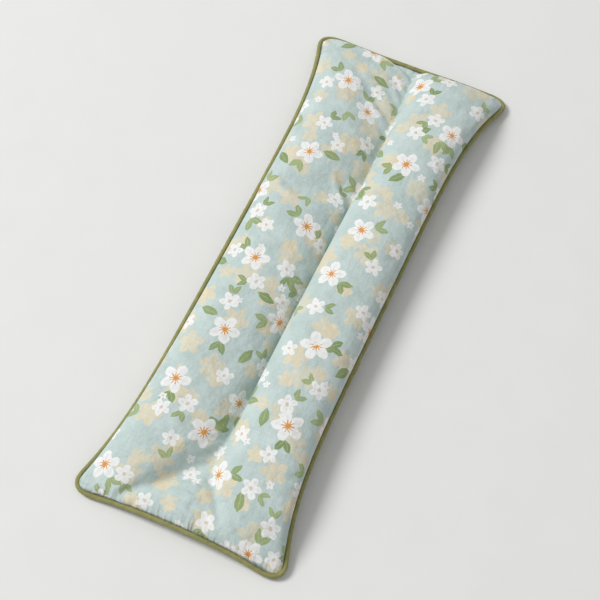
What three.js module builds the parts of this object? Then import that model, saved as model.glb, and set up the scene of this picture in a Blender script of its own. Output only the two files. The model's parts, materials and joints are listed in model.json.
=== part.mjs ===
// Eye pillow: a long printed cotton cushion with a piped edge all round, sewn into two side-by-side
// channels of loose seed by one lengthwise seam. Millimetres, +X across the pillow, +Y along it
// towards the end where the channel seam reaches the piping, +Z up. The origin is on the surface
// that the pillow lies on, under the middle of its outline. Every piece of cloth and piping is a
// left and a right piece that meet at the channel seam, the line along which the pillow folds.
import * as THREE from "three";

// ---- Driving dimensions ----
const CORNER_HALF_WIDTH = 50.5; // middle of the piping at the corners
const WAIST_HALF_WIDTH = 40.5; // middle of the piping where the filled sides pull in
const CORNER_HALF_LENGTH = 135;
const END_HALF_LENGTH = 132.5; // middle of the piping halfway along each short end
const FLARE_POWER = 5; // how suddenly the sides flare out into the corners
const CORNER_RADIUS = 7.5;
const SEAM_X = 4; // the channel seam lies a little off the middle
const SEAM_END_Y = -104; // the seam stops short of the near end, which stays one open strip
const FOLD_MAX_DEGREES = 65;

const PIPING_Z = 6.2; // height of the middle of the piping
const PIPING_RADIUS = 1.1;
const PIPING_WALL = 0.3;
const PIPING_CORD_RADIUS = 0.48;
const PIPING_FLANGE_REACH = 5; // from the middle of the piping to the cut edge of its flange
const PIPING_FLANGE_THICKNESS = 0.5;
const PIPING_JOIN_Y = -33;
const PIPING_JOIN_LENGTH = 7;

const HINGE_Z = 7.4; // the seam holds the two faces together about a third of the way up
const CLOTH = 0.5;
const LINING = 0.4;
const GAP = 0.3;
const THREAD_RADIUS = 0.2;
const SEAM_THREAD_RADIUS = 0.25;
const SEAM_CLEARANCE = SEAM_THREAD_RADIUS + GAP; // each half stays this far from the fold line
const PANEL_INSET = 2.2; // from the middle of the piping to the panel's edge

const LEFT_RISE = 11.9; // crown of the wide left channel above the fold line
const RIGHT_RISE = 15.1; // the right channel is narrower, so the same filling stands higher in it
const CHANNEL_DROP = 12; // how far the underside would bulge if the surface did not flatten it
const CROWN_POWER = 0.6;

// Stations of the cloth: across a channel from the seam to the edge, and along the pillow.
const ACROSS = [0, 0.05, 0.13, 0.26, 0.42, 0.58, 0.74, 0.86, 1];
const ALONG = [-1, -0.96, -0.9, -0.8, -0.65, -0.4, 0, 0.4, 0.65, 0.8, 0.9, 0.96, 1];

// ---- Materials ----
const cloth = (color, roughness) => new THREE.MeshStandardMaterial({ color, roughness, metalness: 0 });
const PRINTED_COTTON = cloth(0xb8cecc, 0.9);
const LINING_CALICO = cloth(0xe9e2d2, 0.95);
const SEED_FILLING = cloth(0xa9824f, 0.85);
const PIPING_COTTON = cloth(0x8f9156, 0.88);
const CORD_COTTON = cloth(0xf0ede4, 0.95);
const THREAD = cloth(0xc3cfbf, 0.7);

// ---- Outline ----
const sideX = (y) =>
  WAIST_HALF_WIDTH +
  (CORNER_HALF_WIDTH - WAIST_HALF_WIDTH) * (Math.abs(y) / CORNER_HALF_LENGTH) ** FLARE_POWER;

const endY = (x) =>
  END_HALF_LENGTH + (CORNER_HALF_LENGTH - END_HALF_LENGTH) * (x / CORNER_HALF_WIDTH) ** 2;

// Outer edge of a panel at the height y of the pillow, rounded off at the corners.
function panelEdgeX(y) {
  const straight = sideX(y) - PANEL_INSET - 0.1;
  const past = Math.abs(y) - (CORNER_HALF_LENGTH - CORNER_RADIUS);
  if (past <= 0) return straight;
  const radius = CORNER_RADIUS - PANEL_INSET;
  const rounded = CORNER_HALF_WIDTH - CORNER_RADIUS + Math.sqrt(Math.max(0, radius ** 2 - past ** 2));
  return Math.min(straight, rounded);
}

// Plan position of a station: side is -1 for the left half and 1 for the right half.
function plan(side, across, along) {
  const straightY = along * (CORNER_HALF_LENGTH - PANEL_INSET);
  const inner = SEAM_CLEARANCE;
  const outer = panelEdgeX(straightY) - side * SEAM_X;
  const x = SEAM_X + side * (inner + across * (outer - inner));
  const dip = (CORNER_HALF_LENGTH - endY(x)) * along ** 6;
  return [x, straightY - Math.sign(along) * dip];
}

// ---- Heights of the cloth ----
// The far end is blunt and full, and the near end runs out thin.
const fullness = (along) =>
  along > 0 ? (1 - along ** 9) ** 0.5 : (1 - Math.abs(along) ** 4.5) ** 0.6;

const crown = (across) => (4 * across * (1 - across)) ** CROWN_POWER;

const EDGE_TOP = PIPING_Z + PIPING_FLANGE_THICKNESS / 2 + GAP + CLOTH;
const EDGE_BOTTOM = 2 * PIPING_Z - EDGE_TOP;
const PINCH_BOTTOM = HINGE_Z - 2 * CLOTH - GAP;
const WALL_SLOPE = Math.tan(((180 - FOLD_MAX_DEGREES) / 2) * (Math.PI / 180));

// The cloth comes down from the seam to the piping, across each channel and towards both ends.
const edgeShare = (across, along) =>
  Math.max(across, THREE.MathUtils.smoothstep(Math.abs(along), 0.75, 0.95));

// Outside of the top cloth. Its walls stay outside the wedge that the fold closes.
function topZ(x, across, along) {
  const base = THREE.MathUtils.lerp(HINGE_Z, EDGE_TOP, edgeShare(across, along));
  const rise = x < SEAM_X ? LEFT_RISE : RIGHT_RISE;
  const dome = base + rise * fullness(along) * crown(across);
  const wall = HINGE_Z + WALL_SLOPE * (Math.abs(x - SEAM_X) - SEAM_CLEARANCE);
  return Math.min(dome, wall);
}

// Outside of the bottom cloth, flat where it lies on the surface.
function bottomZ(x, across, along) {
  const base = THREE.MathUtils.lerp(PINCH_BOTTOM, EDGE_BOTTOM, edgeShare(across, along));
  return Math.max(0, base - CHANNEL_DROP * fullness(along) * crown(across));
}

// ---- Building blocks ----
const pillow = new THREE.Group();

function add(name, geometry, material) {
  const mesh = new THREE.Mesh(geometry, material);
  mesh.name = name;
  pillow.add(mesh);
}

// A closed layer of one half: upper and lower give its two faces at a station, and trim leaves
// that many stations out all round.
function layer(side, upper, lower, trim) {
  const across = ACROSS.slice(trim, ACROSS.length - trim);
  const along = ALONG.slice(trim, ALONG.length - trim);
  const columns = across.length;
  const rows = along.length;
  const positions = [];
  for (const face of [upper, lower])
    for (const v of along)
      for (const u of across) {
        const [x, y] = plan(side, u, v);
        positions.push(x, y, face(x, u, v));
      }
  const index = [];
  const quad = (a, b, c, d) => {
    if (side > 0) index.push(a, b, c, a, c, d);
    else index.push(a, c, b, a, d, c);
  };
  const at = (face, row, column) => (face * rows + row) * columns + column;
  for (let row = 0; row + 1 < rows; row++)
    for (let column = 0; column + 1 < columns; column++) {
      // Both faces share the diagonal from the first corner, so that nested layers never cross.
      const [a, b, c, d] = [[0, 0], [0, 1], [1, 1], [1, 0]].map(([r, q]) => [row + r, column + q]);
      quad(at(0, ...a), at(0, ...b), at(0, ...c), at(0, ...d));
      quad(at(1, ...a), at(1, ...d), at(1, ...c), at(1, ...b));
    }
  for (let column = 0; column + 1 < columns; column++) {
    quad(at(1, 0, column), at(1, 0, column + 1), at(0, 0, column + 1), at(0, 0, column));
    const last = rows - 1;
    quad(at(0, last, column), at(0, last, column + 1), at(1, last, column + 1), at(1, last, column));
  }
  for (let row = 0; row + 1 < rows; row++) {
    quad(at(0, row, 0), at(0, row + 1, 0), at(1, row + 1, 0), at(1, row, 0));
    const last = columns - 1;
    quad(at(1, row, last), at(1, row + 1, last), at(0, row + 1, last), at(0, row, last));
  }
  const geometry = new THREE.BufferGeometry();
  geometry.setAttribute("position", new THREE.Float32BufferAttribute(positions, 3));
  geometry.setIndex(index);
  geometry.computeVertexNormals();
  return geometry;
}

// A curve through its points that a sweep steps along point by point.
class StationCurve extends THREE.CatmullRomCurve3 {
  getUtoTmapping(u) {
    return u;
  }
}

// The middle of the piping of one half, offset inwards, from the far end round to the near end.
function edgePath(side, inset, z) {
  const radius = CORNER_RADIUS - inset;
  const centreX = CORNER_HALF_WIDTH - CORNER_RADIUS;
  const centreY = CORNER_HALF_LENGTH - CORNER_RADIUS;
  const start = SEAM_X + side * SEAM_CLEARANCE;
  const corner = side * centreX;
  const half = [];
  for (const t of [0, 0.35, 0.7]) {
    const x = THREE.MathUtils.lerp(start, corner, t);
    half.push([x, endY(x) - inset]);
  }
  for (const degrees of [85, 62, 38, 15]) {
    const angle = THREE.MathUtils.degToRad(degrees);
    half.push([side * (centreX + radius * Math.cos(angle)), centreY + radius * Math.sin(angle)]);
  }
  for (const y of [0.9, 0.75, 0.5].map((share) => share * CORNER_HALF_LENGTH))
    half.push([side * (sideX(y) - inset), y]);
  const middle = [side * (sideX(0) - inset), 0];
  const mirrored = half.map(([x, y]) => [x, -y]).reverse();
  return [...half, middle, ...mirrored].map(([x, y]) => new THREE.Vector3(x, y, z));
}

function sweep(shape, points, sides) {
  return new THREE.ExtrudeGeometry(shape, {
    steps: points.length - 1,
    curveSegments: sides,
    bevelEnabled: false,
    extrudePath: new StationCurve(points),
  });
}

function round(radius) {
  return new THREE.Shape().absarc(0, 0, radius, 0, 2 * Math.PI, false);
}

// Sweeping along a level path stands the section's x upright, pointing down. Its y is horizontal,
// and points outwards on the right half and inwards on the left half.
function pipingSection(side) {
  const half = PIPING_FLANGE_THICKNESS / 2;
  const neck = Math.asin(half / PIPING_RADIUS);
  const inwards = -side * (Math.PI / 2);
  const shape = new THREE.Shape();
  shape.absarc(0, 0, PIPING_RADIUS, inwards + neck, inwards + 2 * Math.PI - neck, false);
  shape.lineTo(-side * half, -side * PIPING_FLANGE_REACH);
  shape.lineTo(side * half, -side * PIPING_FLANGE_REACH);
  shape.closePath();
  const bore = new THREE.Path().absarc(0, 0, PIPING_RADIUS - PIPING_WALL, 0, 2 * Math.PI, true);
  shape.holes.push(bore);
  return shape;
}

// ---- Cloth, lining and filling of each half ----
const halves = [
  { side: -1, suffix: "left" },
  { side: 1, suffix: "right" },
];
const LINING_DEPTH = CLOTH + GAP;
const FILLING_DEPTH = LINING_DEPTH + LINING + GAP;

for (const { side, suffix } of halves) {
  const under = (depth) => (x, u, v) => topZ(x, u, v) - depth;
  const above = (depth) => (x, u, v) => bottomZ(x, u, v) + depth;
  add(`top_panel_${suffix}`, layer(side, under(0), under(CLOTH), 0), PRINTED_COTTON);
  add(`bottom_panel_${suffix}`, layer(side, above(CLOTH), above(0), 0), PRINTED_COTTON);
  const inner = [under(LINING_DEPTH), under(LINING_DEPTH + LINING)];
  add(`lining_top_${suffix}`, layer(side, ...inner, 1), LINING_CALICO);
  const outer = [above(LINING_DEPTH + LINING), above(LINING_DEPTH)];
  add(`lining_bottom_${suffix}`, layer(side, ...outer, 1), LINING_CALICO);
  add(`filling_${suffix}`, layer(side, under(FILLING_DEPTH), above(FILLING_DEPTH), 2), SEED_FILLING);
}

// ---- Piping of each half ----
for (const { side, suffix } of halves) {
  const middle = edgePath(side, 0, PIPING_Z);
  add(`piping_cover_${suffix}`, sweep(pipingSection(side), middle, 10), PIPING_COTTON);
  add(`piping_cord_${suffix}`, sweep(round(PIPING_CORD_RADIUS), middle, 8), CORD_COTTON);

  // The row of stitching lies in the notch between the piping and the top panel's edge.
  const height = PIPING_FLANGE_THICKNESS / 2 + GAP + THREAD_RADIUS;
  const notch = Math.sqrt(PIPING_RADIUS ** 2 - height ** 2) + GAP + THREAD_RADIUS;
  const row = edgePath(side, notch, PIPING_Z + height);
  add(`edge_stitch_${suffix}`, sweep(round(THREAD_RADIUS), row, 6), THREAD);
}

// The two ends of the piping lap over each other on the right-hand side.
{
  const inner = PIPING_RADIUS + GAP;
  const outer = inner + PIPING_WALL;
  const reach = (125 * Math.PI) / 180;
  const outwards = Math.PI / 2;
  const shape = new THREE.Shape();
  shape.absarc(0, 0, outer, outwards - reach, outwards + reach, false);
  shape.absarc(0, 0, inner, outwards + reach, outwards - reach, true);
  shape.closePath();
  const ends = [1, 0, -1].map((end) => {
    const y = PIPING_JOIN_Y + (end * PIPING_JOIN_LENGTH) / 2;
    return new THREE.Vector3(sideX(y), y, PIPING_Z);
  });
  add("piping_join_lap", sweep(shape, ends, 8), PIPING_COTTON);
}

// The near end is closed by hand after filling, with a row of stitches under the right half.
{
  const height = PIPING_FLANGE_THICKNESS / 2 + GAP + THREAD_RADIUS;
  const notch = Math.sqrt(PIPING_RADIUS ** 2 - height ** 2) + GAP + THREAD_RADIUS;
  const from = SEAM_X + SEAM_CLEARANCE + 1;
  const to = CORNER_HALF_WIDTH - CORNER_RADIUS - 3;
  const points = [0, 0.5, 1].map((t) => {
    const x = THREE.MathUtils.lerp(from, to, t);
    return new THREE.Vector3(x, notch - endY(x), PIPING_Z - height);
  });
  add("closing_stitch", sweep(round(THREAD_RADIUS), points, 6), THREAD);
}

// ---- Channel seam: the needle thread on top and the bobbin thread underneath ----
for (const [name, seamZ, edgeZ] of [
  ["channel_stitch_top", HINGE_Z, EDGE_TOP],
  ["channel_stitch_bottom", PINCH_BOTTOM + SEAM_THREAD_RADIUS, EDGE_BOTTOM + SEAM_THREAD_RADIUS],
]) {
  const farEnd = END_HALF_LENGTH - PANEL_INSET;
  const between = ALONG.filter((v) => v < 0.95).map((v) => v * CORNER_HALF_LENGTH);
  const ys = [SEAM_END_Y, ...between.filter((y) => y > SEAM_END_Y), farEnd].reverse();
  const points = ys.map((y) => {
    const z = THREE.MathUtils.lerp(seamZ, edgeZ, edgeShare(0, y / CORNER_HALF_LENGTH));
    return new THREE.Vector3(SEAM_X, y, z);
  });
  add(name, sweep(round(SEAM_THREAD_RADIUS), points, 6), THREAD);
}

export default pillow;
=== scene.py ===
# Eye pillow: the sewn cover is simulated as inextensible cloth over its filling and fitted to the
# CAD frame, then gets its piping, stitching, lining, filling and printed cotton material.
import json
import math

import bpy
import numpy as np
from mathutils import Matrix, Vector

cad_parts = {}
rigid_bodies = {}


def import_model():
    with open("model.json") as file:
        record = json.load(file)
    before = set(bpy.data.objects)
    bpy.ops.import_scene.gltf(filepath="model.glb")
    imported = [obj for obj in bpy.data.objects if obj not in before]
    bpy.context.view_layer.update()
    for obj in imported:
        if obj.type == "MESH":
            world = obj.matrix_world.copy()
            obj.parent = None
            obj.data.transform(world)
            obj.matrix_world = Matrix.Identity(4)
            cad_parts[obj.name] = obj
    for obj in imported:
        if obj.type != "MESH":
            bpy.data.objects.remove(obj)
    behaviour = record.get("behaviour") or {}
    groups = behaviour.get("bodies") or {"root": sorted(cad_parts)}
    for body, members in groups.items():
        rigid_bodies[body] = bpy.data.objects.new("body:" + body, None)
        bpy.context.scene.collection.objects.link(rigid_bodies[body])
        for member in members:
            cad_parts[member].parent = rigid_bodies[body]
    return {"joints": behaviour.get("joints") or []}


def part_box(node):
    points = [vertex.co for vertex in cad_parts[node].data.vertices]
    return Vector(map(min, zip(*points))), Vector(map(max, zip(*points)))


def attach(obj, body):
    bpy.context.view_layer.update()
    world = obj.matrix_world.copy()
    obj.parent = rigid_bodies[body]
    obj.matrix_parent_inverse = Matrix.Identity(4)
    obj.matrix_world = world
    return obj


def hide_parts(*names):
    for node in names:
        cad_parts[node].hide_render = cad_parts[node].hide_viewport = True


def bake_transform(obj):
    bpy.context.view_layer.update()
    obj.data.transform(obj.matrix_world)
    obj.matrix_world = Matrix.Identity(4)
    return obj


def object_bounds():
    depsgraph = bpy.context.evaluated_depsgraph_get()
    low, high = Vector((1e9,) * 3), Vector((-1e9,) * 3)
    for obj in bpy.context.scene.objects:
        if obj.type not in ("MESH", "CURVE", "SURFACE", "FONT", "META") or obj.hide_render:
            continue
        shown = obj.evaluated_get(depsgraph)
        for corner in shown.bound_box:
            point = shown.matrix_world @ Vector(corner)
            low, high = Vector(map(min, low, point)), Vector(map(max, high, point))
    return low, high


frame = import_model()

CAD_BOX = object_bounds()
MM = 0.001

# ---------------------------------------------------------------- sizes, worked out from the frame
LOW, HIGH = (Vector(corner) for corner in CAD_BOX)
PIPING_LOW, PIPING_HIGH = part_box("piping_cover_left")
PIPING_RADIUS = (PIPING_HIGH.z - PIPING_LOW.z) / 2
PIPING_Z = (PIPING_HIGH.z + PIPING_LOW.z) / 2
EAR_ROUNDING = Vector((0.6 * MM, 1.3 * MM))  # what rounding an ear takes off its reach
CORNER_HALF_WIDTH = HIGH.x - PIPING_RADIUS + EAR_ROUNDING.x
CORNER_HALF_LENGTH = HIGH.y - PIPING_RADIUS + EAR_ROUNDING.y
JOINT = frame["joints"][0]
HINGE_X, _, HINGE_Z = JOINT["pos_m"]
WAIST_HALF_WIDTH = CORNER_HALF_WIDTH - 10.6 * MM
END_HALF_LENGTH = CORNER_HALF_LENGTH - 3.2 * MM
SEAM_END_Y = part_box("channel_stitch_top")[0].y
CORNER_RADIUS = 7.5 * MM
EAR_LENGTH = 4.5 * MM  # the ears keep their full width this far from the ends
FLARE_POWER = 5
END_FLARE_POWER = 3
COVER_INSET = PIPING_RADIUS - 0.1 * MM  # the cloth's edge, from the middle of the piping

PATTERN_HALF_WIDTH = 51.6 * MM
PATTERN_HALF_LENGTH = 137.3 * MM
CORNER_Z = 1.8 * MM
NEAR_END_Z = 2.8 * MM
FAR_END_Z = 4.6 * MM
SEAM_Z = HINGE_Z - 2 * MM  # under the filling's push the seam sinks below the fold line
SEAM_HALF_THICKNESS = 0.5 * MM
SEAM_CREST_Y = 40 * MM  # where the seam bows out furthest
SEAM_OFFSET = 1.2 * MM  # of that crest, from the hinge


# ---------------------------------------------------------------- the outline on the surface
def side_x(y):
    share = np.minimum(1, np.abs(y) / (CORNER_HALF_LENGTH - EAR_LENGTH))
    return WAIST_HALF_WIDTH + (CORNER_HALF_WIDTH - WAIST_HALF_WIDTH) * share**FLARE_POWER


def end_y(x):
    share = np.abs(x) / CORNER_HALF_WIDTH
    return END_HALF_LENGTH + (CORNER_HALF_LENGTH - END_HALF_LENGTH) * share**END_FLARE_POWER


def cover_edge_x(y):
    """Half width of the cloth at y, rounded off at the corners."""
    straight = side_x(y) - COVER_INSET
    past = np.maximum(0, np.abs(y) - (CORNER_HALF_LENGTH - CORNER_RADIUS))
    radius = CORNER_RADIUS - COVER_INSET
    rounded = CORNER_HALF_WIDTH - CORNER_RADIUS + np.sqrt(np.maximum(0, radius**2 - past**2))
    return np.where(past > 0, np.minimum(straight, rounded), straight)


def seam_x(y):
    """The channel seam bows gently towards the rounder right channel."""
    nearer = y < SEAM_CREST_Y
    reach = np.where(nearer, 140 * MM, 90 * MM)
    bow = np.where(nearer, 3.2 * MM, 2.6 * MM)
    return HINGE_X + SEAM_OFFSET - bow * ((y - SEAM_CREST_Y) / reach) ** 2


def edge_height(x, y):
    """Height of the piping's middle: the filled sides lift it, and the corners lie on the surface."""
    along = np.abs(y) / CORNER_HALF_LENGTH
    end = np.where(y > 0, FAR_END_Z, NEAR_END_Z)
    across = np.clip(np.abs(x) / (CORNER_HALF_WIDTH - CORNER_RADIUS), 0, 1)
    at_end = CORNER_Z + (end - CORNER_Z) * (1 - across**2.5)
    at_side = CORNER_Z + (PIPING_Z - CORNER_Z) * (1 - along**5)
    near_end = np.clip((along - 0.9) / 0.1, 0, 1)
    side = np.clip((np.abs(x) / side_x(y) - 0.93) / 0.07, 0, 1)
    return at_side * side + at_end * (1 - side) * near_end + at_side * (1 - side) * (1 - near_end)


# ---------------------------------------------------------------- the cover, as simulated cloth
def smooth_step(t):
    t = np.clip(t, 0, 1)
    return t * t * (3 - 2 * t)


def stations(columns, rows):
    across = np.linspace(-1, 1, 2 * columns + 1)
    along = np.linspace(-1, 1, rows + 1)
    return np.meshgrid(across, along)


def flat_pattern(across, along):
    """Where each station lies on the cut cloth before sewing."""
    y = along * PATTERN_HALF_LENGTH
    past = np.maximum(0, np.abs(y) - (PATTERN_HALF_LENGTH - CORNER_RADIUS))
    half = PATTERN_HALF_WIDTH - CORNER_RADIUS + np.sqrt(np.maximum(0, CORNER_RADIUS**2 - past**2))
    return np.stack([across * half, y], -1)


def sewn_places(across, along):
    """Where the sewn lines hold the cloth, and a first guess in between."""
    y = along * (CORNER_HALF_LENGTH - COVER_INSET)
    edge, seam = cover_edge_x(y), seam_x(y)
    x = seam + np.where(across > 0, across * (edge - seam), across * (edge + seam))
    y = y - np.sign(along) * (CORNER_HALF_LENGTH - end_y(x)) * np.abs(along) ** 6
    border = edge_height(np.where(np.abs(along) > 0.999, x, np.sign(across) * edge), y)
    closeness = smooth_step((np.abs(along) - 0.86) / 0.14)
    seam_height = SEAM_Z * (1 - closeness) + edge_height(seam, y) * closeness
    z = seam_height + (border - seam_height) * np.abs(across)
    return np.stack([x, y, z], -1)


DENTS = [  # x, y, half length, half width (mm), turn of the long axis (degrees), share of push lost
    (-11, 103, 18, 4, 104, 1.1),
    (-22, 124, 10, 6, 5, 0.7),
    (-12, 44, 24, 7, 28, 1.25),
    (-36, 76, 12, 6, -20, 0.5),
    (-27, -6, 14, 7, 25, 0.45),
    (-13, -58, 18, 6, 70, 0.6),
    (-9, -112, 22, 5, 60, 1.0),
    (-20, -122, 12, 4, 30, 0.8),
    (28, -104, 22, 6, 40, 0.8),
    (12, -120, 14, 5, 100, 0.5),
    (30, 104, 16, 6, 60, 0.5),
    (24, 60, 16, 5, 75, 0.35),
    (24, -30, 18, 5, 100, 0.45),
]


def dented(x, y):
    """Share of the filling's push that is missing where the filling has shifted away."""
    missing = np.zeros_like(x)
    for cx, cy, long, wide, turn, depth in DENTS:
        a = math.radians(turn)
        u = (x / MM - cx) * math.cos(a) + (y / MM - cy) * math.sin(a)
        v = (y / MM - cy) * math.cos(a) - (x / MM - cx) * math.sin(a)
        missing = np.maximum(missing, depth * np.exp(-((u / long) ** 2) - (v / wide) ** 2))
    return missing


STRETCH_SHARE = 0.42  # of the correction that each sweep applies
SWEEPS = 2
DAMPING = 0.96
DIAGONAL_STIFFNESS = 0.5
BEND_STIFFNESS = 0.08
SLACK_STIFFNESS = 0.5  # cloth resists shortening less than stretching
EDGE_STIFFNESS = 0.25
DENT_PULL = 1.15
WEIGHT = 0.12  # of the cloth, against the push of the filling
FILL_LEVEL_LEFT, FILL_LEVEL_RIGHT = 20.5 * MM, 23.5 * MM
FULL_PUSH_DEPTH, MOST_PUSH = 12 * MM, 1.4
CLOTH_HALF = 0.3 * MM
FACES_APART = 0.9 * MM
OVERHANG = 0.4 * MM
LOWEST_EDGE, HIGHEST_EDGE = 1.3 * MM, 7.5 * MM
CHANNEL_LEAN = 0.25
COLUMNS, ROWS = 9, 48  # columns of a channel and rows of the cover, doubled at each finer level
LEVELS = [(500, 0.035 * MM), (400, 0.012 * MM), (300, 0.0035 * MM)]  # steps and push


def outward(P):
    """Unit normals of both faces, pointing out of the cover."""
    du, dv = np.gradient(P, axis=2), np.gradient(P, axis=1)
    n = np.cross(du, dv)
    n /= np.linalg.norm(n, axis=-1, keepdims=True) + 1e-12
    n[1] *= -1
    return n


def settled(P, held, free, anchors, on_seam):
    """Sewn lines stay where they are on the plan, and their two faces rise and sink together. The
    stiff piping evens out the height of the edge."""
    height = P[..., 2].mean(0)
    for line in (np.s_[:, 0], np.s_[:, -1], np.s_[0], np.s_[-1]):
        z = height[line]
        height[line][1:-1] = z[1:-1] + EDGE_STIFFNESS * (z[:-2] + z[2:] - 2 * z[1:-1])
    height = np.where(free, np.clip(height, LOWEST_EDGE, HIGHEST_EDGE), anchors[..., 2])
    faces = np.stack([height + SEAM_HALF_THICKNESS * on_seam, height - SEAM_HALF_THICKNESS * on_seam])
    sewn = np.concatenate([np.stack([anchors[..., :2]] * 2), faces[..., None]], -1)
    return np.where(held[None, ..., None], sewn, P)


def kept_clear(P, held):
    """The cloth stays above the surface and inside its own edge, and does not pass through itself."""
    P[..., 2] = np.maximum(P[..., 2], CLOTH_HALF)
    P[0, ..., 2] = np.maximum(P[0, ..., 2], np.where(held, P[0, ..., 2], P[1, ..., 2] + FACES_APART))
    side = cover_edge_x(P[..., 1]) + OVERHANG
    P[..., 0] = np.clip(P[..., 0], -side, side)
    end = end_y(P[..., 0]) - COVER_INSET + OVERHANG
    P[..., 1] = np.clip(P[..., 1], -end, end)
    # Above the seam the right channel leans over the left one.
    middle = P.shape[2] // 2
    touch = seam_x(P[..., 1]) - CHANNEL_LEAN * np.maximum(0, P[..., 2] - SEAM_Z)
    sewn = P[..., 1] > SEAM_END_Y
    left, right = np.s_[..., :middle], np.s_[..., middle + 1:]
    x = P[..., 0]
    x[left] = np.where(sewn[left], np.minimum(x[left], touch[left] - CLOTH_HALF), x[left])
    x[right] = np.where(sewn[right], np.maximum(x[right], touch[right] + CLOTH_HALF), x[right])


def relax(P, held, free, anchors, on_seam, rest, steps, push):
    """Position-based cloth: keep every rest length, and let the grain push along the normals."""
    families = []
    for (dj, di), weight in (((0, 1), 1.0), ((1, 0), 1.0),
                             ((1, 1), DIAGONAL_STIFFNESS), ((1, -1), DIAGONAL_STIFFNESS),
                             ((0, 2), BEND_STIFFNESS), ((2, 0), BEND_STIFFNESS)):
        j0, j1 = slice(0, P.shape[1] - dj), slice(dj, None)
        if di >= 0:
            i0, i1 = slice(0, P.shape[2] - di), slice(di, None)
        else:
            i0, i1 = slice(-di, None), slice(0, P.shape[2] + di)
        length = np.linalg.norm(rest[j1, i1] - rest[j0, i0], axis=-1)[None, ..., None]
        families.append((j0, i0, j1, i1, length, weight))
    velocity = np.zeros_like(P)
    fill = np.where(np.linspace(-1, 1, P.shape[2]) < 0, FILL_LEVEL_LEFT, FILL_LEVEL_RIGHT)
    for step in range(steps):
        before = P.copy()
        missing = dented(P[0, ..., 0], P[0, ..., 1])
        force = np.stack([1 - DENT_PULL * missing, np.ones_like(missing)])
        depth = np.clip((fill - P[..., 2]) / FULL_PUSH_DEPTH, 0, MOST_PUSH)
        P = P + velocity * DAMPING + outward(P) * (push * force * depth)[..., None]
        P[..., 2] -= WEIGHT * push
        for sweep in range(SWEEPS):
            change = np.zeros_like(P)
            for j0, i0, j1, i1, length, weight in families:
                d = P[:, j1, i1] - P[:, j0, i0]
                now = np.linalg.norm(d, axis=-1, keepdims=True) + 1e-12
                stretch = 1 - length / now
                soft = np.where(stretch > 0, weight, weight * SLACK_STIFFNESS)
                move = d * (0.5 * soft * stretch)
                change[:, j0, i0] += move
                change[:, j1, i1] -= move
            P += change * STRETCH_SHARE
            kept_clear(P, held)
            P = settled(P, held, free, anchors, on_seam)
        velocity = P - before
    return P


def finer(A):
    """Doubles the stations of a grid along both of its directions."""
    for axis in (1, 2):
        B = np.moveaxis(A, axis, 0)
        middle = (B[1:] + B[:-1]) / 2
        middle[1:-1] = (9 * (B[1:-2] + B[2:-1]) - B[:-3] - B[3:]) / 16
        out = np.empty((2 * len(B) - 1,) + B.shape[1:])
        out[::2], out[1::2] = B, middle
        A = np.moveaxis(out, 0, axis)
    return A


def simulate_cover():
    """The sewn and filled cover on ever finer grids, and its flat pattern: P[0] is the top face
    and P[1] the bottom face, by rows along the pillow and columns across it."""
    P = None
    for level, (steps, push) in enumerate(LEVELS):
        columns, rows = COLUMNS * 2**level, ROWS * 2**level
        across, along = stations(columns, rows)
        anchors = sewn_places(across, along)
        held = np.zeros(across.shape, bool)
        held[0], held[-1], held[:, 0], held[:, -1] = True, True, True, True
        on_seam = np.zeros(across.shape, bool)
        on_seam[1:-1, columns] = anchors[1:-1, columns, 1] > SEAM_END_Y
        held |= on_seam
        corners = (np.abs(across) > 0.85) & (np.abs(along) > 0.95)
        free = ~(corners | on_seam)
        if P is None:
            dome = 4 * np.abs(across) * (1 - np.abs(across)) * (1 - along**8)
            P = np.stack([anchors, anchors])
            P[0, ..., 2] += (0.5 + 7 * dome) * MM
            P[1, ..., 2] -= (0.5 + 5 * dome) * MM
            P += np.random.default_rng(4).normal(0, 0.05 * MM, P.shape)
        else:
            P = finer(P)
        P = settled(P, held, free, anchors, on_seam)
        pattern = flat_pattern(across, along)
        P = relax(P, held, free, anchors, on_seam, pattern, steps, push)
    return P, pattern


COVER, PATTERN = simulate_cover()


# ---------------------------------------------------------------- material building
def srgb(r, g, b):
    """A linear colour from 0-255 screen values."""
    def linear(c):
        c /= 255
        return c / 12.92 if c <= 0.04045 else ((c + 0.055) / 1.055) ** 2.4
    return linear(r), linear(g), linear(b), 1


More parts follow.
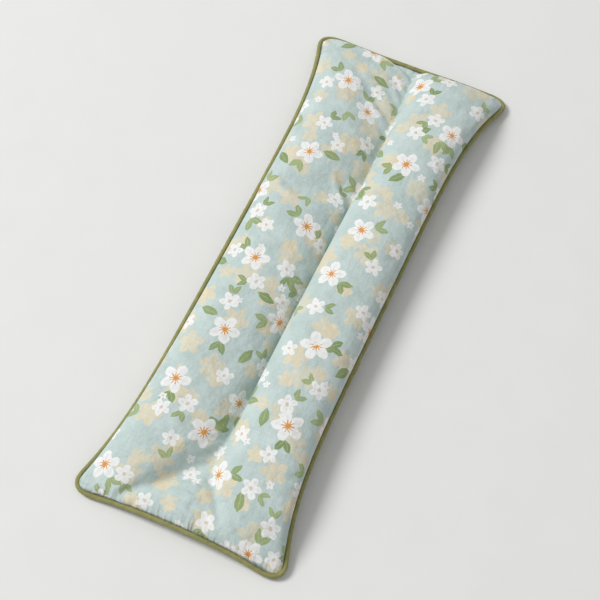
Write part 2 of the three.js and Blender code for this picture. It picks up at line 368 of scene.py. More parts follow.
class Graph:
    """A material's node tree, with short calls that take numbers or sockets."""

    def __init__(self, name):
        self.material = bpy.data.materials.new(name)
        self.material.use_nodes = True
        self.tree = self.material.node_tree
        self.shader = self.tree.nodes["Principled BSDF"]

    def node(self, kind, **settings):
        made = self.tree.nodes.new(kind)
        for key, value in settings.items():
            setattr(made, key, value)
        return made

    def plug(self, socket, value):
        if isinstance(value, bpy.types.NodeSocket):
            self.tree.links.new(value, socket)
        elif value is not None:
            socket.default_value = value

    def math(self, operation, *values):
        made = self.node("ShaderNodeMath", operation=operation)
        for socket, value in zip(made.inputs, values):
            self.plug(socket, value)
        return made.outputs[0]

    def vector(self, operation, *values):
        made = self.node("ShaderNodeVectorMath", operation=operation)
        for socket, value in zip(made.inputs, values):
            self.plug(socket, value)
        return made.outputs["Value" if operation in ("LENGTH", "DISTANCE") else "Vector"]

    def split(self, vector):
        made = self.node("ShaderNodeSeparateXYZ")
        self.plug(made.inputs[0], vector)
        return made.outputs[0], made.outputs[1], made.outputs[2]

    def turned(self, vector, angle):
        made = self.node("ShaderNodeVectorRotate", rotation_type="Z_AXIS")
        self.plug(made.inputs["Vector"], vector)
        self.plug(made.inputs["Angle"], angle)
        return made.outputs[0]

    def ramp(self, value, low, high, out_low=0.0, out_high=1.0):
        made = self.node("ShaderNodeMapRange", clamp=True)
        for socket, number in zip(made.inputs, (value, low, high, out_low, out_high)):
            self.plug(socket, number)
        return made.outputs[0]

    def mix(self, factor, a, b, blend="MIX"):
        made = self.node("ShaderNodeMix", data_type="RGBA", blend_type=blend)
        self.plug(made.inputs[0], factor)
        self.plug(made.inputs[6], a)
        self.plug(made.inputs[7], b)
        return made.outputs[2]

    def noise(self, vector, scale, detail=2.0, roughness=0.5):
        made = self.node("ShaderNodeTexNoise")
        self.plug(made.inputs["Vector"], vector)
        for key, value in (("Scale", scale), ("Detail", detail), ("Roughness", roughness)):
            made.inputs[key].default_value = value
        return made.outputs["Fac"]

    def uv(self):
        return self.node("ShaderNodeTexCoord").outputs["UV"]

    def object_place(self):
        return self.node("ShaderNodeTexCoord").outputs["Object"]

    def bump(self, height, distance, strength=1.0, normal=None):
        made = self.node("ShaderNodeBump")
        made.inputs["Strength"].default_value = strength
        made.inputs["Distance"].default_value = distance
        self.plug(made.inputs["Height"], height)
        if normal is not None:
            self.plug(made.inputs["Normal"], normal)
        return made.outputs[0]

    def finish(self, color, roughness, normal=None, sheen=0.0):
        self.plug(self.shader.inputs["Base Color"], color)
        self.plug(self.shader.inputs["Roughness"], roughness)
        self.shader.inputs["Specular IOR Level"].default_value = 0.25
        self.shader.inputs["Sheen Weight"].default_value = sheen
        self.shader.inputs["Sheen Roughness"].default_value = 0.5
        if normal is not None:
            self.plug(self.shader.inputs["Normal"], normal)
        return self.material


# ---------------------------------------------------------------- the printed cotton
CLOTH_COLOR, CLOTH_MOTTLE = srgb(202, 217, 214), srgb(187, 204, 200)
PETAL_WHITE, PETAL_SHADE = srgb(241, 242, 240), srgb(229, 232, 231)
PETAL_BEIGE = srgb(224, 214, 186)
STAMEN_ORANGE = srgb(222, 150, 56)
CENTRE_BROWN = srgb(206, 160, 132)
LEAF_LIGHT, LEAF_DARK = srgb(162, 179, 126), srgb(127, 150, 92)
MIDRIB = srgb(190, 204, 164)

PRINT_TURN = math.radians(33)
SOFT_EDGE = 0.2 * MM
WEAVE_PITCH = 0.42 * MM
PUCKER_REACH = 9 * MM  # of the gathers beside a sewn line
WOBBLE = 0.8 * MM  # of every printed edge, as in a print from a brush drawing
BIG_RADIUS, BIG_CELL = 7.0 * MM, 32 * MM
MEDIUM_RADIUS, MEDIUM_CELL = 4.5 * MM, 18 * MM
TINY_RADIUS, TINY_CELL = 2.0 * MM, 24 * MM
LOOSE_LEAF_CELL = 24 * MM
BEIGE_LAYERS = ((6.2 * MM, 19 * MM, 0.15), (4.2 * MM, 15 * MM, 0.35), (2.3 * MM, 15 * MM, 0.4))
LAYER_RANDOMNESS, LOOSE_RANDOMNESS = 0.52, 0.6
LEAF_SPREAD = math.radians(30)  # of each leaf of a pair, from the pair's middle
MEDIUM_SHIFT, TINY_SHIFT, LOOSE_LEAF_SHIFT = (0.307, 0.211, 0), (0.517, 0.389, 0), (0.713, 0.137, 0)


def joined(g, x, y):
    made = g.node("ShaderNodeCombineXYZ")
    g.plug(made.inputs[0], x)
    g.plug(made.inputs[1], y)
    return made.outputs[0]


def wobbled(g, place):
    """The place on the print, shifted a little to and fro."""
    x = g.math("MULTIPLY_ADD", g.noise(place, 400), 2 * WOBBLE, -WOBBLE)
    y = g.math("MULTIPLY_ADD", g.noise(g.vector("ADD", place, (0.7, 0.3, 0)), 400), 2 * WOBBLE, -WOBBLE)
    return g.vector("ADD", place, joined(g, x, y))


def scattered(g, place, cell, randomness, feature="F1"):
    """Centre-relative place and three random numbers of the nearest of many scattered motifs."""
    made = g.node("ShaderNodeTexVoronoi", voronoi_dimensions="2D", feature=feature)
    g.plug(made.inputs["Vector"], place)
    made.inputs["Scale"].default_value = 1 / cell
    made.inputs["Randomness"].default_value = randomness
    centre = made.outputs["Position"]
    return g.vector("SUBTRACT", place, centre), centre, g.split(made.outputs["Color"])


def petals(g, local, radius, turn, wide=0.32):
    """Cover of a blossom of five oval petals, with its polar place for what is drawn on it."""
    x, y, _ = g.split(local)
    distance = g.math("DIVIDE", g.vector("LENGTH", local), radius)
    angle = g.math("ADD", g.math("ARCTAN2", y, x), turn)
    petal_angle = g.math("WRAP", angle, math.pi / 5, -math.pi / 5)
    u = g.math("SUBTRACT", g.math("MULTIPLY", distance, g.math("COSINE", petal_angle)), 0.58)
    v = g.math("MULTIPLY", distance, g.math("SINE", petal_angle))
    oval = g.vector("LENGTH", joined(g, g.math("DIVIDE", u, 0.42), g.math("DIVIDE", v, wide)))
    return g.ramp(oval, 1.08, 0.94), distance, angle, oval


def paint_leaves(g, color, local, turn, spread, start, length, half_width, tone, shown=1.0):
    """Two pointed leaves in a V, or one when the spread is nothing, with a pale midrib."""
    x, y, _ = g.split(g.turned(local, turn))
    along = g.math("SUBTRACT", x, start)
    across = g.math("ABSOLUTE", y)
    cosine, sine = g.math("COSINE", spread), g.math("SINE", spread)
    a = g.math("ADD", g.math("MULTIPLY", along, cosine), g.math("MULTIPLY", across, sine))
    b = g.math("SUBTRACT", g.math("MULTIPLY", across, cosine), g.math("MULTIPLY", along, sine))
    share = g.math("DIVIDE", a, length)
    width = g.math("MULTIPLY", g.math("MULTIPLY", share, g.math("SUBTRACT", 1.0, share)), 4.0)
    width = g.math("MULTIPLY", width, half_width)
    off = g.math("ABSOLUTE", b)
    cover = g.ramp(g.math("SUBTRACT", width, off), -SOFT_EDGE / 2, SOFT_EDGE / 2)
    midrib = g.math("MULTIPLY", g.ramp(off, 0.25 * MM, 0.08 * MM), g.ramp(share, 0.9, 0.7))
    green = g.mix(g.math("MULTIPLY", midrib, 0.5), g.mix(tone, LEAF_LIGHT, LEAF_DARK), MIDRIB)
    return g.mix(g.math("MULTIPLY", g.math("MULTIPLY", cover, shown), 0.93), color, green)


def paint_blossom(g, color, local, radius, turn, star, shown=1.0):
    """A white blossom. Big ones have an orange star of stamens, the others a faint dot."""
    cover, distance, angle, oval = petals(g, local, radius, turn)
    white = g.mix(g.ramp(oval, 0.6, 0.0), PETAL_WHITE, PETAL_SHADE)
    if star:
        ray = g.math("POWER", g.math("ABSOLUTE", g.math("COSINE", g.math("MULTIPLY", angle, 5.0))), 5.0)
        reach = g.math("MULTIPLY_ADD", ray, 0.27, 0.17)
        mark = g.ramp(g.math("SUBTRACT", reach, distance), -0.03, 0.05)
        white = g.mix(mark, white, STAMEN_ORANGE)
    else:
        mark = g.ramp(distance, 0.24, 0.12)
        white = g.mix(g.math("MULTIPLY", mark, 0.6), white, CENTRE_BROWN)
    cover = g.math("MAXIMUM", cover, mark)
    return g.mix(g.math("MULTIPLY", g.math("MULTIPLY", cover, shown), 0.97), color, white)


def random_turn(g, number):
    return g.math("MULTIPLY", number, 2 * math.pi)


def printed_cotton():
    g = Graph("printed_cotton")
    uv = g.uv()
    place = wobbled(g, g.turned(uv, PRINT_TURN))
    color = g.mix(g.ramp(g.noise(uv, 90, 3), 0.3, 0.7), CLOTH_COLOR, CLOTH_MOTTLE)

    # Beige blossoms lie under everything else, as if printed in the first and palest ink.
    for radius, cell, least in BEIGE_LAYERS:
        moved = g.vector("ADD", place, (0.113 + radius, 0.071, 0))
        local, _, (r1, r2, r3) = scattered(g, moved, cell, 0.5)
        cover, distance, _, _ = petals(g, local, radius, random_turn(g, r1), wide=0.32)
        cover = g.math("MAXIMUM", cover, g.ramp(distance, 0.24, 0.16))
        shown = g.math("MULTIPLY", g.math("GREATER_THAN", r2, least), g.ramp(r3, 0, 1, 0.6, 0.88))
        color = g.mix(g.math("MULTIPLY", cover, shown), color, PETAL_BEIGE)

    # Nearest and second nearest clusters are both drawn, so that no leaf is cut off half way.
    big = [scattered(g, place, BIG_CELL, LAYER_RANDOMNESS, feature) for feature in ("F2", "F1")]
    medium = []
    for feature in ("F2", "F1"):
        moved = g.vector("ADD", place, MEDIUM_SHIFT)
        local, centre, randoms = scattered(g, moved, MEDIUM_CELL, LAYER_RANDOMNESS, feature)
        own_place = g.vector("SUBTRACT", centre, MEDIUM_SHIFT)
        away, _, _ = scattered(g, own_place, BIG_CELL, LAYER_RANDOMNESS)
        shown = g.math("GREATER_THAN", g.vector("LENGTH", away), 0.8 * (BIG_RADIUS + MEDIUM_RADIUS))
        medium.append((local, randoms, shown))

    for local, (r1, r2, r3), shown in medium:
        leafy = g.math("MULTIPLY", shown, g.math("GREATER_THAN", r1, 0.45))
        color = paint_leaves(g, color, local, random_turn(g, r2), LEAF_SPREAD, 4.0 * MM, 5.4 * MM, 1.25 * MM,
                             r3, leafy)
    for local, _, (_, r2, r3) in big:
        color = paint_leaves(g, color, local, random_turn(g, r3), LEAF_SPREAD, 6.2 * MM, 6.6 * MM,
                             1.5 * MM, r2)
    local, _, (r1, r2, r3) = scattered(g, g.vector("ADD", place, LOOSE_LEAF_SHIFT), LOOSE_LEAF_CELL,
                                        LOOSE_RANDOMNESS)
    loose_spread = g.math("MULTIPLY", g.math("LESS_THAN", r3, 0.5), LEAF_SPREAD)
    length = g.ramp(r3, 0, 0.5, 5.5 * MM, 9.5 * MM)
    color = paint_leaves(g, color, local, random_turn(g, r1), loose_spread, -4.5 * MM, length,
                         g.math("MULTIPLY", length, 0.22), r3, g.math("GREATER_THAN", r2, 0.25))
    for local, (r1, _, r3), shown in medium:
        size = g.ramp(r1, 0, 1, 0.86 * MEDIUM_RADIUS, 1.06 * MEDIUM_RADIUS)
        color = paint_blossom(g, color, local, size, random_turn(g, r3), False, shown)
    for local, _, (r1, r2, _) in big:
        size = g.ramp(r2, 0, 1, 0.92 * BIG_RADIUS, 1.04 * BIG_RADIUS)
        color = paint_blossom(g, color, local, size, random_turn(g, r1), True)
    local, _, (r1, r2, _) = scattered(g, g.vector("ADD", place, TINY_SHIFT), TINY_CELL, LOOSE_RANDOMNESS)
    color = paint_blossom(g, color, local, TINY_RADIUS, random_turn(g, r1), False,
                          g.math("GREATER_THAN", r2, 0.3))

    # Plain weave of warp and weft, with the odd thicker thread.
    x, y, _ = g.split(uv)
    pitch = 2 * math.pi / WEAVE_PITCH
    weave = g.math("MULTIPLY", g.math("SINE", g.math("MULTIPLY", x, pitch)),
                   g.math("SINE", g.math("MULTIPLY", y, pitch)))
    slubs = g.noise(g.vector("MULTIPLY", uv, (1.0, 0.06, 1.0)), 1600, 2)
    slubs_across = g.noise(g.vector("MULTIPLY", uv, (0.06, 1.0, 1.0)), 1600, 2)
    thread = g.math("ADD", g.math("MULTIPLY", weave, 0.25), g.math("ADD", slubs, slubs_across))
    color = g.mix(1.0, color, shade(g, g.ramp(thread, 0.6, 1.4, 0.91, 1.05)), "MULTIPLY")
    # Sewn edges gather the cloth in short puckers. Where the cloth meets the piping, its colour is darkened
    # with painted shade.
    from_side = g.math("SUBTRACT", PATTERN_HALF_WIDTH, g.math("ABSOLUTE", x))
    from_end = g.math("SUBTRACT", PATTERN_HALF_LENGTH, g.math("ABSOLUTE", y))
    side_folds = g.math("MULTIPLY", g.noise(g.vector("MULTIPLY", uv, (0.2, 1.0, 1.0)), 330, 1),
                        g.ramp(from_side, PUCKER_REACH, 1 * MM))
    end_folds = g.math("MULTIPLY", g.noise(g.vector("MULTIPLY", uv, (1.0, 0.2, 1.0)), 330, 1),
                       g.ramp(from_end, PUCKER_REACH, 1 * MM))
    seam_folds = g.math("MULTIPLY", g.noise(g.vector("MULTIPLY", uv, (0.25, 1.0, 1.0)), 250, 1),
                        g.ramp(g.math("ABSOLUTE", x), PUCKER_REACH, 1 * MM))
    puckers = g.math("ADD", g.math("ADD", side_folds, end_folds), seam_folds)
    # Painted shade: the colour darkens to half within 0.7 mm of the sewn edge and is full again at 2.1 mm.
    painted_groove_shade = g.ramp(g.math("MINIMUM", from_side, from_end), 0.7 * MM, 2.1 * MM, 0.5, 1.0)
    color = g.mix(1.0, color, shade(g, painted_groove_shade), "MULTIPLY")
    normal = g.bump(thread, 0.05 * MM, 0.6)
    normal = g.bump(g.noise(uv, 260, 4, 0.6), 1.0 * MM, 0.7, normal)
    normal = g.bump(g.noise(uv, 70, 2, 0.5), 3.0 * MM, 0.7, normal)
    normal = g.bump(puckers, 2.4 * MM, 0.9, normal)
    return g.finish(color, 0.88, normal, sheen=0.3)


def shade(g, value):
    made = g.node("ShaderNodeCombineColor")
    for socket in made.inputs:
        g.plug(socket, value)
    return made.outputs[0]


# ---------------------------------------------------------------- the other cloths and threads
def bias_cotton():
    """Olive piping cotton cut on the bias, so its threads run slantwise round the cord."""
    g = Graph("piping_cotton")
    uv = g.turned(g.uv(), math.radians(45))
    x, y, _ = g.split(uv)
    pitch = 2 * math.pi / (0.5 * MM)
    weave = g.math("MULTIPLY", g.math("SINE", g.math("MULTIPLY", x, pitch)),
                   g.math("SINE", g.math("MULTIPLY", y, pitch)))
    ribs = g.noise(g.vector("MULTIPLY", uv, (1.0, 0.12, 1.0)), 900, 2)
    height = g.math("ADD", g.math("MULTIPLY", weave, 0.3), ribs)
    color = g.mix(g.ramp(g.noise(g.uv(), 240, 3), 0.3, 0.7), srgb(141, 141, 88), srgb(160, 158, 102))
    color = g.mix(1.0, color, shade(g, g.ramp(height, 0.2, 0.9, 0.78, 1.12)), "MULTIPLY")
    return g.finish(color, 0.85, g.bump(height, 0.08 * MM, 0.7), sheen=0.1)


def calico():
    g = Graph("lining_calico")
    place = g.object_place()
    x, y, _ = g.split(place)
    pitch = 2 * math.pi / (0.6 * MM)
    weave = g.math("MULTIPLY", g.math("SINE", g.math("MULTIPLY", x, pitch)),
                   g.math("SINE", g.math("MULTIPLY", y, pitch)))
    flecks = g.ramp(g.noise(place, 1500, 2), 0.68, 0.74)
    color = g.mix(flecks, srgb(233, 226, 210), srgb(188, 170, 136))
    color = g.mix(1.0, color, shade(g, g.ramp(weave, -1, 1, 0.94, 1.03)), "MULTIPLY")
    return g.finish(color, 0.92, g.bump(weave, 0.05 * MM, 0.5))


def seed():
    """Loose linseed: glossy brown grains about 2 mm across."""
    g = Graph("seed_filling")
    grains = g.node("ShaderNodeTexVoronoi", feature="F1")
    g.plug(grains.inputs["Vector"], g.object_place())
    grains.inputs["Scale"].default_value = 1 / (2.2 * MM)
    tone, _, _ = g.split(grains.outputs["Color"])
    color = g.mix(tone, srgb(120, 76, 38), srgb(176, 122, 66))
    # The rim of each grain darkens to a near-black brown, which is painted shade in the gaps between the
    # grains.
    color = g.mix(g.ramp(grains.outputs["Distance"], 0.45, 0.75), color, srgb(54, 34, 18))
    height = g.math("SUBTRACT", 1.0, grains.outputs["Distance"])
    return g.finish(color, 0.4, g.bump(height, 0.8 * MM, 0.8))


def spun_thread(name, color, dark):
    """Two-ply sewing thread with its twist."""
    g = Graph(name)
    x, y, _ = g.split(g.uv())
    twist = g.math("SINE", g.math("MULTIPLY", g.math("ADD", x, y), 2 * math.pi / (0.45 * MM)))
    tint = g.mix(g.ramp(twist, -1, 1), dark, color)
    return g.finish(tint, 0.65, g.bump(twist, 0.05 * MM, 0.6), sheen=0.2)


def table_top():
    g = Graph("table_top")
    grain = g.noise(g.object_place(), 40, 3)
    color = g.mix(g.ramp(grain, 0.3, 0.7), srgb(233, 233, 231), srgb(231, 231, 229))
    return g.finish(color, 0.75)


def calico_cord():
    g = Graph("piping_cord")
    x, y, _ = g.split(g.uv())
    twist = g.math("SINE", g.math("MULTIPLY", g.math("ADD", x, y), 2 * math.pi / (1.2 * MM)))
    color = g.mix(g.ramp(twist, -1, 1), srgb(222, 216, 202), srgb(244, 241, 232))
    return g.finish(color, 0.92, g.bump(twist, 0.15 * MM, 0.7))


# ---------------------------------------------------------------- meshes
def new_piece(name, vertices, faces, material, uvs=None):
    """A smooth mesh in the scene. uvs holds one row of corner places per face."""
    mesh = bpy.data.meshes.new(name)
    mesh.from_pydata([tuple(v) for v in vertices], [], faces)
    mesh.polygons.foreach_set("use_smooth", [True] * len(mesh.polygons))
    if uvs is not None:
        mesh.uv_layers.new(name="Flat").data.foreach_set("uv", np.asarray(uvs, float).ravel())
    mesh.materials.append(material)
    obj = bpy.data.objects.new(name, mesh)
    bpy.context.scene.collection.objects.link(obj)
    return obj


def subdivided(obj):
    modifier = obj.modifiers.new("finer", "SUBSURF")
    modifier.levels = modifier.render_levels = 1
    return obj


BOTTOM_PRINT_SHIFT = (0.31, 0.17)  # the underside is cut from another stretch of the same print


def closed_cloth(name, P, material):
    """One closed mesh of both faces of the grid P, joined along the sewn edge."""
    _, rows, columns, _ = P.shape
    number = np.arange(2 * rows * columns).reshape(2, rows, columns)
    for edge in ((0, slice(None)), (-1, slice(None)), (slice(None), 0), (slice(None), -1)):
        number[(1,) + edge] = number[(0,) + edge]
    used, compact = np.unique(number, return_inverse=True)
    compact = compact.reshape(number.shape)

    def corners(grid, face):
        a, b, c, d = grid[:-1, :-1], grid[:-1, 1:], grid[1:, 1:], grid[1:, :-1]
        return np.stack((a, b, c, d) if face == 0 else (a, d, c, b), 2)

    faces = np.concatenate([corners(compact[face], face).reshape(-1, 4) for face in (0, 1)])
    flat = [PATTERN, PATTERN + BOTTOM_PRINT_SHIFT]
    uvs = np.concatenate([corners(flat[face], face).reshape(-1, 2) for face in (0, 1)])
    return new_piece(name, P.reshape(-1, 3)[used], faces.tolist(), material, uvs)


EDGE_PULL = 0.3


def inset(P, depth, most):
    """The grid moved inwards by depth, or by the share `most` of the way to the other face if that
    is less. Its edge stops short of the sewn edge."""
    room = np.linalg.norm(P[0] - P[1], axis=-1) * most
    moved = P - outward(P) * np.minimum(depth, room)[None, ..., None]
    for edge, inner in ((np.s_[:, 0], np.s_[:, 3]), (np.s_[:, -1], np.s_[:, -4]),
                        (np.s_[:, :, 0], np.s_[:, :, 3]), (np.s_[:, :, -1], np.s_[:, :, -4])):
        moved[edge] += EDGE_PULL * (moved[inner].mean(0) - moved[edge])
    return moved


def tube(path, radius, sides, closed=False):
    """Rings round a path that lies nearly level: vertices, faces and corner places along and round it."""
    path = np.asarray(path, float)
    if closed:
        tangent = np.roll(path, -1, 0) - np.roll(path, 1, 0)
    else:
        tangent = np.gradient(path, axis=0)
    tangent /= np.linalg.norm(tangent, axis=1, keepdims=True)
    side = np.cross(tangent, (0, 0, 1))
    side /= np.linalg.norm(side, axis=1, keepdims=True)
    up = np.cross(side, tangent)
    around = np.arange(sides) * 2 * math.pi / sides
    radius = np.broadcast_to(radius, (len(path), sides))
    spoke = np.cos(around)[None, :, None] * side[:, None] + np.sin(around)[None, :, None] * up[:, None]
    rings = path[:, None] + spoke * radius[..., None]
    vertices = rings.reshape(-1, 3)
    count = len(path)
    steps = np.linalg.norm(np.diff(path, axis=0, append=path[:1]), axis=1)
    start = np.concatenate([[0], np.cumsum(steps)])
    faces, uvs = [], []
    for i in range(count if closed else count - 1):
        j = (i + 1) % count
        for k in range(sides):
            m = (k + 1) % sides
            faces.append((i * sides + k, j * sides + k, j * sides + m, i * sides + m))
            low, high = around[k] * radius[i, k], (around[k] + around[1]) * radius[i, k]
            uvs += [(start[i], low), (start[i + 1], low), (start[i + 1], high), (start[i], high)]
    if not closed:
        for ring, order in ((0, 1), (count - 1, -1)):
            faces.append(tuple(ring * sides + k for k in range(sides))[::order])
            uvs += [(start[ring], 0.0)] * sides
    return vertices, faces, uvs


def joined_tubes(name, paths, radius, sides, material):
    vertices, faces, uvs = [], [], []
    for path in paths:
        v, f, w = tube(path, radius, sides)
        faces += [tuple(len(vertices) + n for n in face) for face in f]
        vertices += [tuple(p) for p in v]
        uvs += w
    return new_piece(name, vertices, faces, material, uvs)


def evenly(path, spacing, closed=False):
    """The same path with stations a constant distance apart."""
    path = np.asarray(path, float)
    if closed:
        path = np.vstack([path, path[:1]])
    reach = np.concatenate([[0], np.cumsum(np.linalg.norm(np.diff(path, axis=0), axis=1))])
    count = max(2, round(reach[-1] / spacing))
    wanted = np.linspace(0, reach[-1], count + 1)
    if closed:
        wanted = wanted[:-1]
    return np.stack([np.interp(wanted, reach, path[:, axis]) for axis in range(3)], 1)


# ---------------------------------------------------------------- placing pieces on the frame
LEFT, RIGHT = JOINT["parent"], JOINT["child"]


def bends_at_seam(obj, stands_for):
    """A soft piece that crosses the channel seam. Its placement is baked into its mesh, and the CAD parts it
    stands for are hidden.
    """
    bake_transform(obj)
    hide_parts(*stands_for)
    return obj


def both(stem):
    return stem + "_left", stem + "_right"


COTTON = printed_cotton()
OLIVE = bias_cotton()
PALE_THREAD = spun_thread("thread", srgb(196, 214, 208), srgb(150, 172, 166))
OLIVE_THREAD = spun_thread("piping_thread", srgb(96, 96, 56), srgb(72, 72, 40))

cover = subdivided(closed_cloth("cover", COVER, COTTON))
bends_at_seam(cover, both("top_panel") + both("bottom_panel"))

LINING_DEPTH, FILLING_DEPTH = 0.7 * MM, 1.5 * MM
lining = closed_cloth("lining_bag", inset(COVER, LINING_DEPTH, 0.3), calico())
bends_at_seam(lining, both("lining_top") + both("lining_bottom"))
filling = closed_cloth("seed_filling", inset(COVER, FILLING_DEPTH, 0.42), seed())
bends_at_seam(filling, both("filling"))


# ---------------------------------------------------------------- piping
def sewn_edge():
    """The cover's edge, once round, anticlockwise from the near left corner."""
    top = COVER[0]
    return np.concatenate([top[0, :-1], top[:-1, -1], top[-1, :0:-1], top[:0:-1, 0]])


EDGE_SPACING = 0.8 * MM


def moved_out(loop, distance):
    tangent = np.roll(loop, -1, 0) - np.roll(loop, 1, 0)
    normal = np.cross(tangent, (0, 0, 1))
    return loop + distance * normal / np.linalg.norm(normal, axis=1, keepdims=True)


def smoothed(loop, rounds):
    for _ in range(rounds):
        loop = (np.roll(loop, 1, 0) + 2 * loop + np.roll(loop, -1, 0)) / 4
    return loop


EDGE = evenly(sewn_edge(), EDGE_SPACING, closed=True)
ROUNDED_EDGE = smoothed(EDGE, 12)
PIPING_PATH = smoothed(evenly(moved_out(ROUNDED_EDGE, COVER_INSET), EDGE_SPACING, closed=True), 6)
PIPING_SIDES = 16


def bias_puckers(count):
    """Radius of the piping cover, with the slight slanting folds of bias cloth over a cord."""
    station = np.arange(count)[:, None] * EDGE_SPACING
    around = np.arange(PIPING_SIDES)[None] * 2 * math.pi / PIPING_SIDES
    slant = np.sin(2 * math.pi * station / (3.1 * MM) + around)
    slow = np.sin(2 * math.pi * station / (17 * MM) + 1.3) * np.sin(2 * math.pi * station / (7.3 * MM))
    return PIPING_RADIUS * (1 + 0.022 * slant + 0.02 * slow)


vertices, faces, uvs = tube(PIPING_PATH, bias_puckers(len(PIPING_PATH)), PIPING_SIDES, closed=True)
piping = new_piece("piping", vertices, faces, OLIVE, uvs)
bends_at_seam(piping, both("piping_cover"))
CORD_RADIUS = (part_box("piping_cord_left")[1].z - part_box("piping_cord_left")[0].z) / 2
vertices, faces, uvs = tube(PIPING_PATH[::2], CORD_RADIUS, 8, closed=True)
cord = new_piece("piping_cord", vertices, faces, calico_cord(), uvs)
bends_at_seam(cord, both("piping_cord"))

LAP_LOW, LAP_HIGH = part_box("piping_join_lap")
LAP_REACH = 6 * MM  # from its middle to the last piping station it follows


def piping_lap():
    """Where the piping's two ends meet, the outer one is folded over and laid across the other."""
    middle = (LAP_LOW.y + LAP_HIGH.y) / 2
    beside = PIPING_PATH[(PIPING_PATH[:, 0] > 0) & (np.abs(PIPING_PATH[:, 1] - middle) < LAP_REACH)]
    path = evenly(beside[np.argsort(beside[:, 1])], 0.5 * MM)
    share = (path[:, 1] - middle) / ((LAP_HIGH.y - LAP_LOW.y) / 2)
    around = np.arange(PIPING_SIDES) * 2 * math.pi / PIPING_SIDES
    slanted = share[:, None] + 0.35 * np.sin(around)[None]
    thickness = 0.42 * MM * smooth_step((1 - np.abs(slanted)) / 0.22) - 0.12 * MM
    return tube(path, PIPING_RADIUS + thickness, PIPING_SIDES)


vertices, faces, uvs = piping_lap()
lap = new_piece("piping_lap", vertices, faces, OLIVE, uvs)
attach(lap, RIGHT)
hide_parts("piping_join_lap")


# ---------------------------------------------------------------- stitches
def stitches(path, lift, length, gap, sag):
    """Separate stitches along a path. lift is each station's way out of the cloth."""
    reach = np.concatenate([[0], np.cumsum(np.linalg.norm(np.diff(path, axis=0), axis=1))])
    starts = np.arange(0, reach[-1] - length, length + gap)
    share = np.linspace(0, 1, 7)
    rows = []
    for start in starts:
        at = start + share * length
        points = np.stack([np.interp(at, reach, path[:, axis]) for axis in range(3)], 1)
        outwards = np.stack([np.interp(at, reach, lift[:, axis]) for axis in range(3)], 1)
        rows.append(points + outwards * ((1 - (2 * share - 1) ** 4) * sag - 0.25 * sag)[:, None])
    return rows


SEAM_COLUMN = COVER.shape[2] // 2
SEAM_ROWS = np.nonzero(COVER[0, 1:-1, SEAM_COLUMN, 1] > SEAM_END_Y)[0] + 1
THREAD_RADIUS, EDGE_THREAD_RADIUS = 0.17 * MM, 0.12 * MM
STITCH_LENGTH, STITCH_GAP = 2.3 * MM, 0.35 * MM
for face, name in ((0, "channel_stitch_top"), (1, "channel_stitch_bottom")):
    line = COVER[face, SEAM_ROWS, SEAM_COLUMN]
    lift = np.tile((0, 0, 1.0 - 2 * face), (len(line), 1))
    rows = stitches(line, lift, STITCH_LENGTH, STITCH_GAP, 0.2 * MM)
    # A bar tack ends the seam: short stitches back over the last ones.
    tack = stitches(line[:5] + lift[:5] * 0.1 * MM, lift[:5], 1.3 * MM, 0.1 * MM, 0.2 * MM)
    thread = joined_tubes(name + "_thread", rows + tack, THREAD_RADIUS, 8, PALE_THREAD)
    bends_at_seam(thread, (name,))

edge_line = smoothed(evenly(moved_out(ROUNDED_EDGE, -0.15 * MM), EDGE_SPACING, closed=True), 4)
lift = np.tile((0, 0, 1.0), (len(edge_line), 1))
rows = stitches(edge_line, lift, STITCH_LENGTH, STITCH_GAP, 0.2 * MM)
edge_thread = joined_tubes("edge_stitch_thread", rows, EDGE_THREAD_RADIUS, 6, OLIVE_THREAD)
bends_at_seam(edge_thread, both("edge_stitch"))

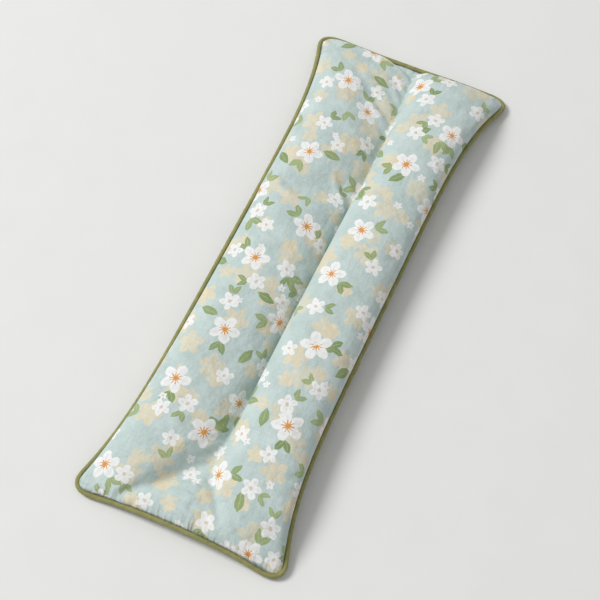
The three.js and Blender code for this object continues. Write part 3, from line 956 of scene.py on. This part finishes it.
CLOSING_LOW, CLOSING_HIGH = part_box("closing_stitch")
near = edge_line[(edge_line[:, 1] < CLOSING_HIGH.y + 2 * MM)
                 & (edge_line[:, 0] > CLOSING_LOW.x) & (edge_line[:, 0] < CLOSING_HIGH.x)]
near = near[np.argsort(near[:, 0])]
under = near - (0, 0, 0.55 * MM)
rows = stitches(under, np.tile((0, 0, -1.0), (len(near), 1)), 3.2 * MM, 0.9 * MM, 0.3 * MM)
closing = joined_tubes("closing_stitch_thread", rows, THREAD_RADIUS, 8, PALE_THREAD)
bends_at_seam(closing, ("closing_stitch",))

# ---------------------------------------------------------------- stage
DISTANCE = 0.6784
AZIMUTH, ELEVATION = math.radians(24.55), math.radians(62.89)
AIM = Vector((0, 0, 5 * MM))
AIM_RIGHT, AIM_UP = -2.0 * MM, -9.8 * MM
LENS, SENSOR_WIDTH = 87.06, 36
FLOOR_HALF = 2
flat_back = Vector((math.sin(AZIMUTH), -math.cos(AZIMUTH), 0))
back = flat_back * math.cos(ELEVATION) + Vector((0, 0, math.sin(ELEVATION)))
right = Vector((math.cos(AZIMUTH), math.sin(AZIMUTH), 0))
up = back.cross(right)
data = bpy.data.cameras.new("camera")
data.lens = LENS
data.sensor_width = SENSOR_WIDTH
camera = bpy.data.objects.new("camera", data)
camera.location = AIM + back * DISTANCE + right * AIM_RIGHT + up * AIM_UP
camera.rotation_euler = back.to_track_quat("Z", "Y").to_euler()
bpy.context.scene.collection.objects.link(camera)
bpy.context.scene.camera = camera

floor_corners = [(x * FLOOR_HALF, y * FLOOR_HALF, 0) for x, y in ((-1, -1), (1, -1), (1, 1), (-1, 1))]
floor = new_piece("floor", floor_corners, [(0, 1, 2, 3)], table_top())


def area_light(name, place, size, power):
    light = bpy.data.lights.new(name, "AREA")
    light.shape, light.size, light.energy = "DISK", size, power
    obj = bpy.data.objects.new(name, light)
    obj.location = place
    obj.rotation_euler = Vector(place).to_track_quat("Z", "Y").to_euler()
    bpy.context.scene.collection.objects.link(obj)


KEY_PLACE = -right * 1.85 - flat_back * 0.7 + Vector((0, 0, 2.15))
KEY_SIZE, KEY_POWER = 1.25, 60.5
SKY_STRENGTH = 0.45
area_light("key", tuple(KEY_PLACE), KEY_SIZE, KEY_POWER)
world = bpy.data.worlds.new("world")
bpy.context.scene.world = world
world.use_nodes = True
world.node_tree.nodes["Background"].inputs["Color"].default_value = (1, 1, 1, 1)
world.node_tree.nodes["Background"].inputs["Strength"].default_value = SKY_STRENGTH
bpy.context.scene.view_settings.view_transform = "Standard"
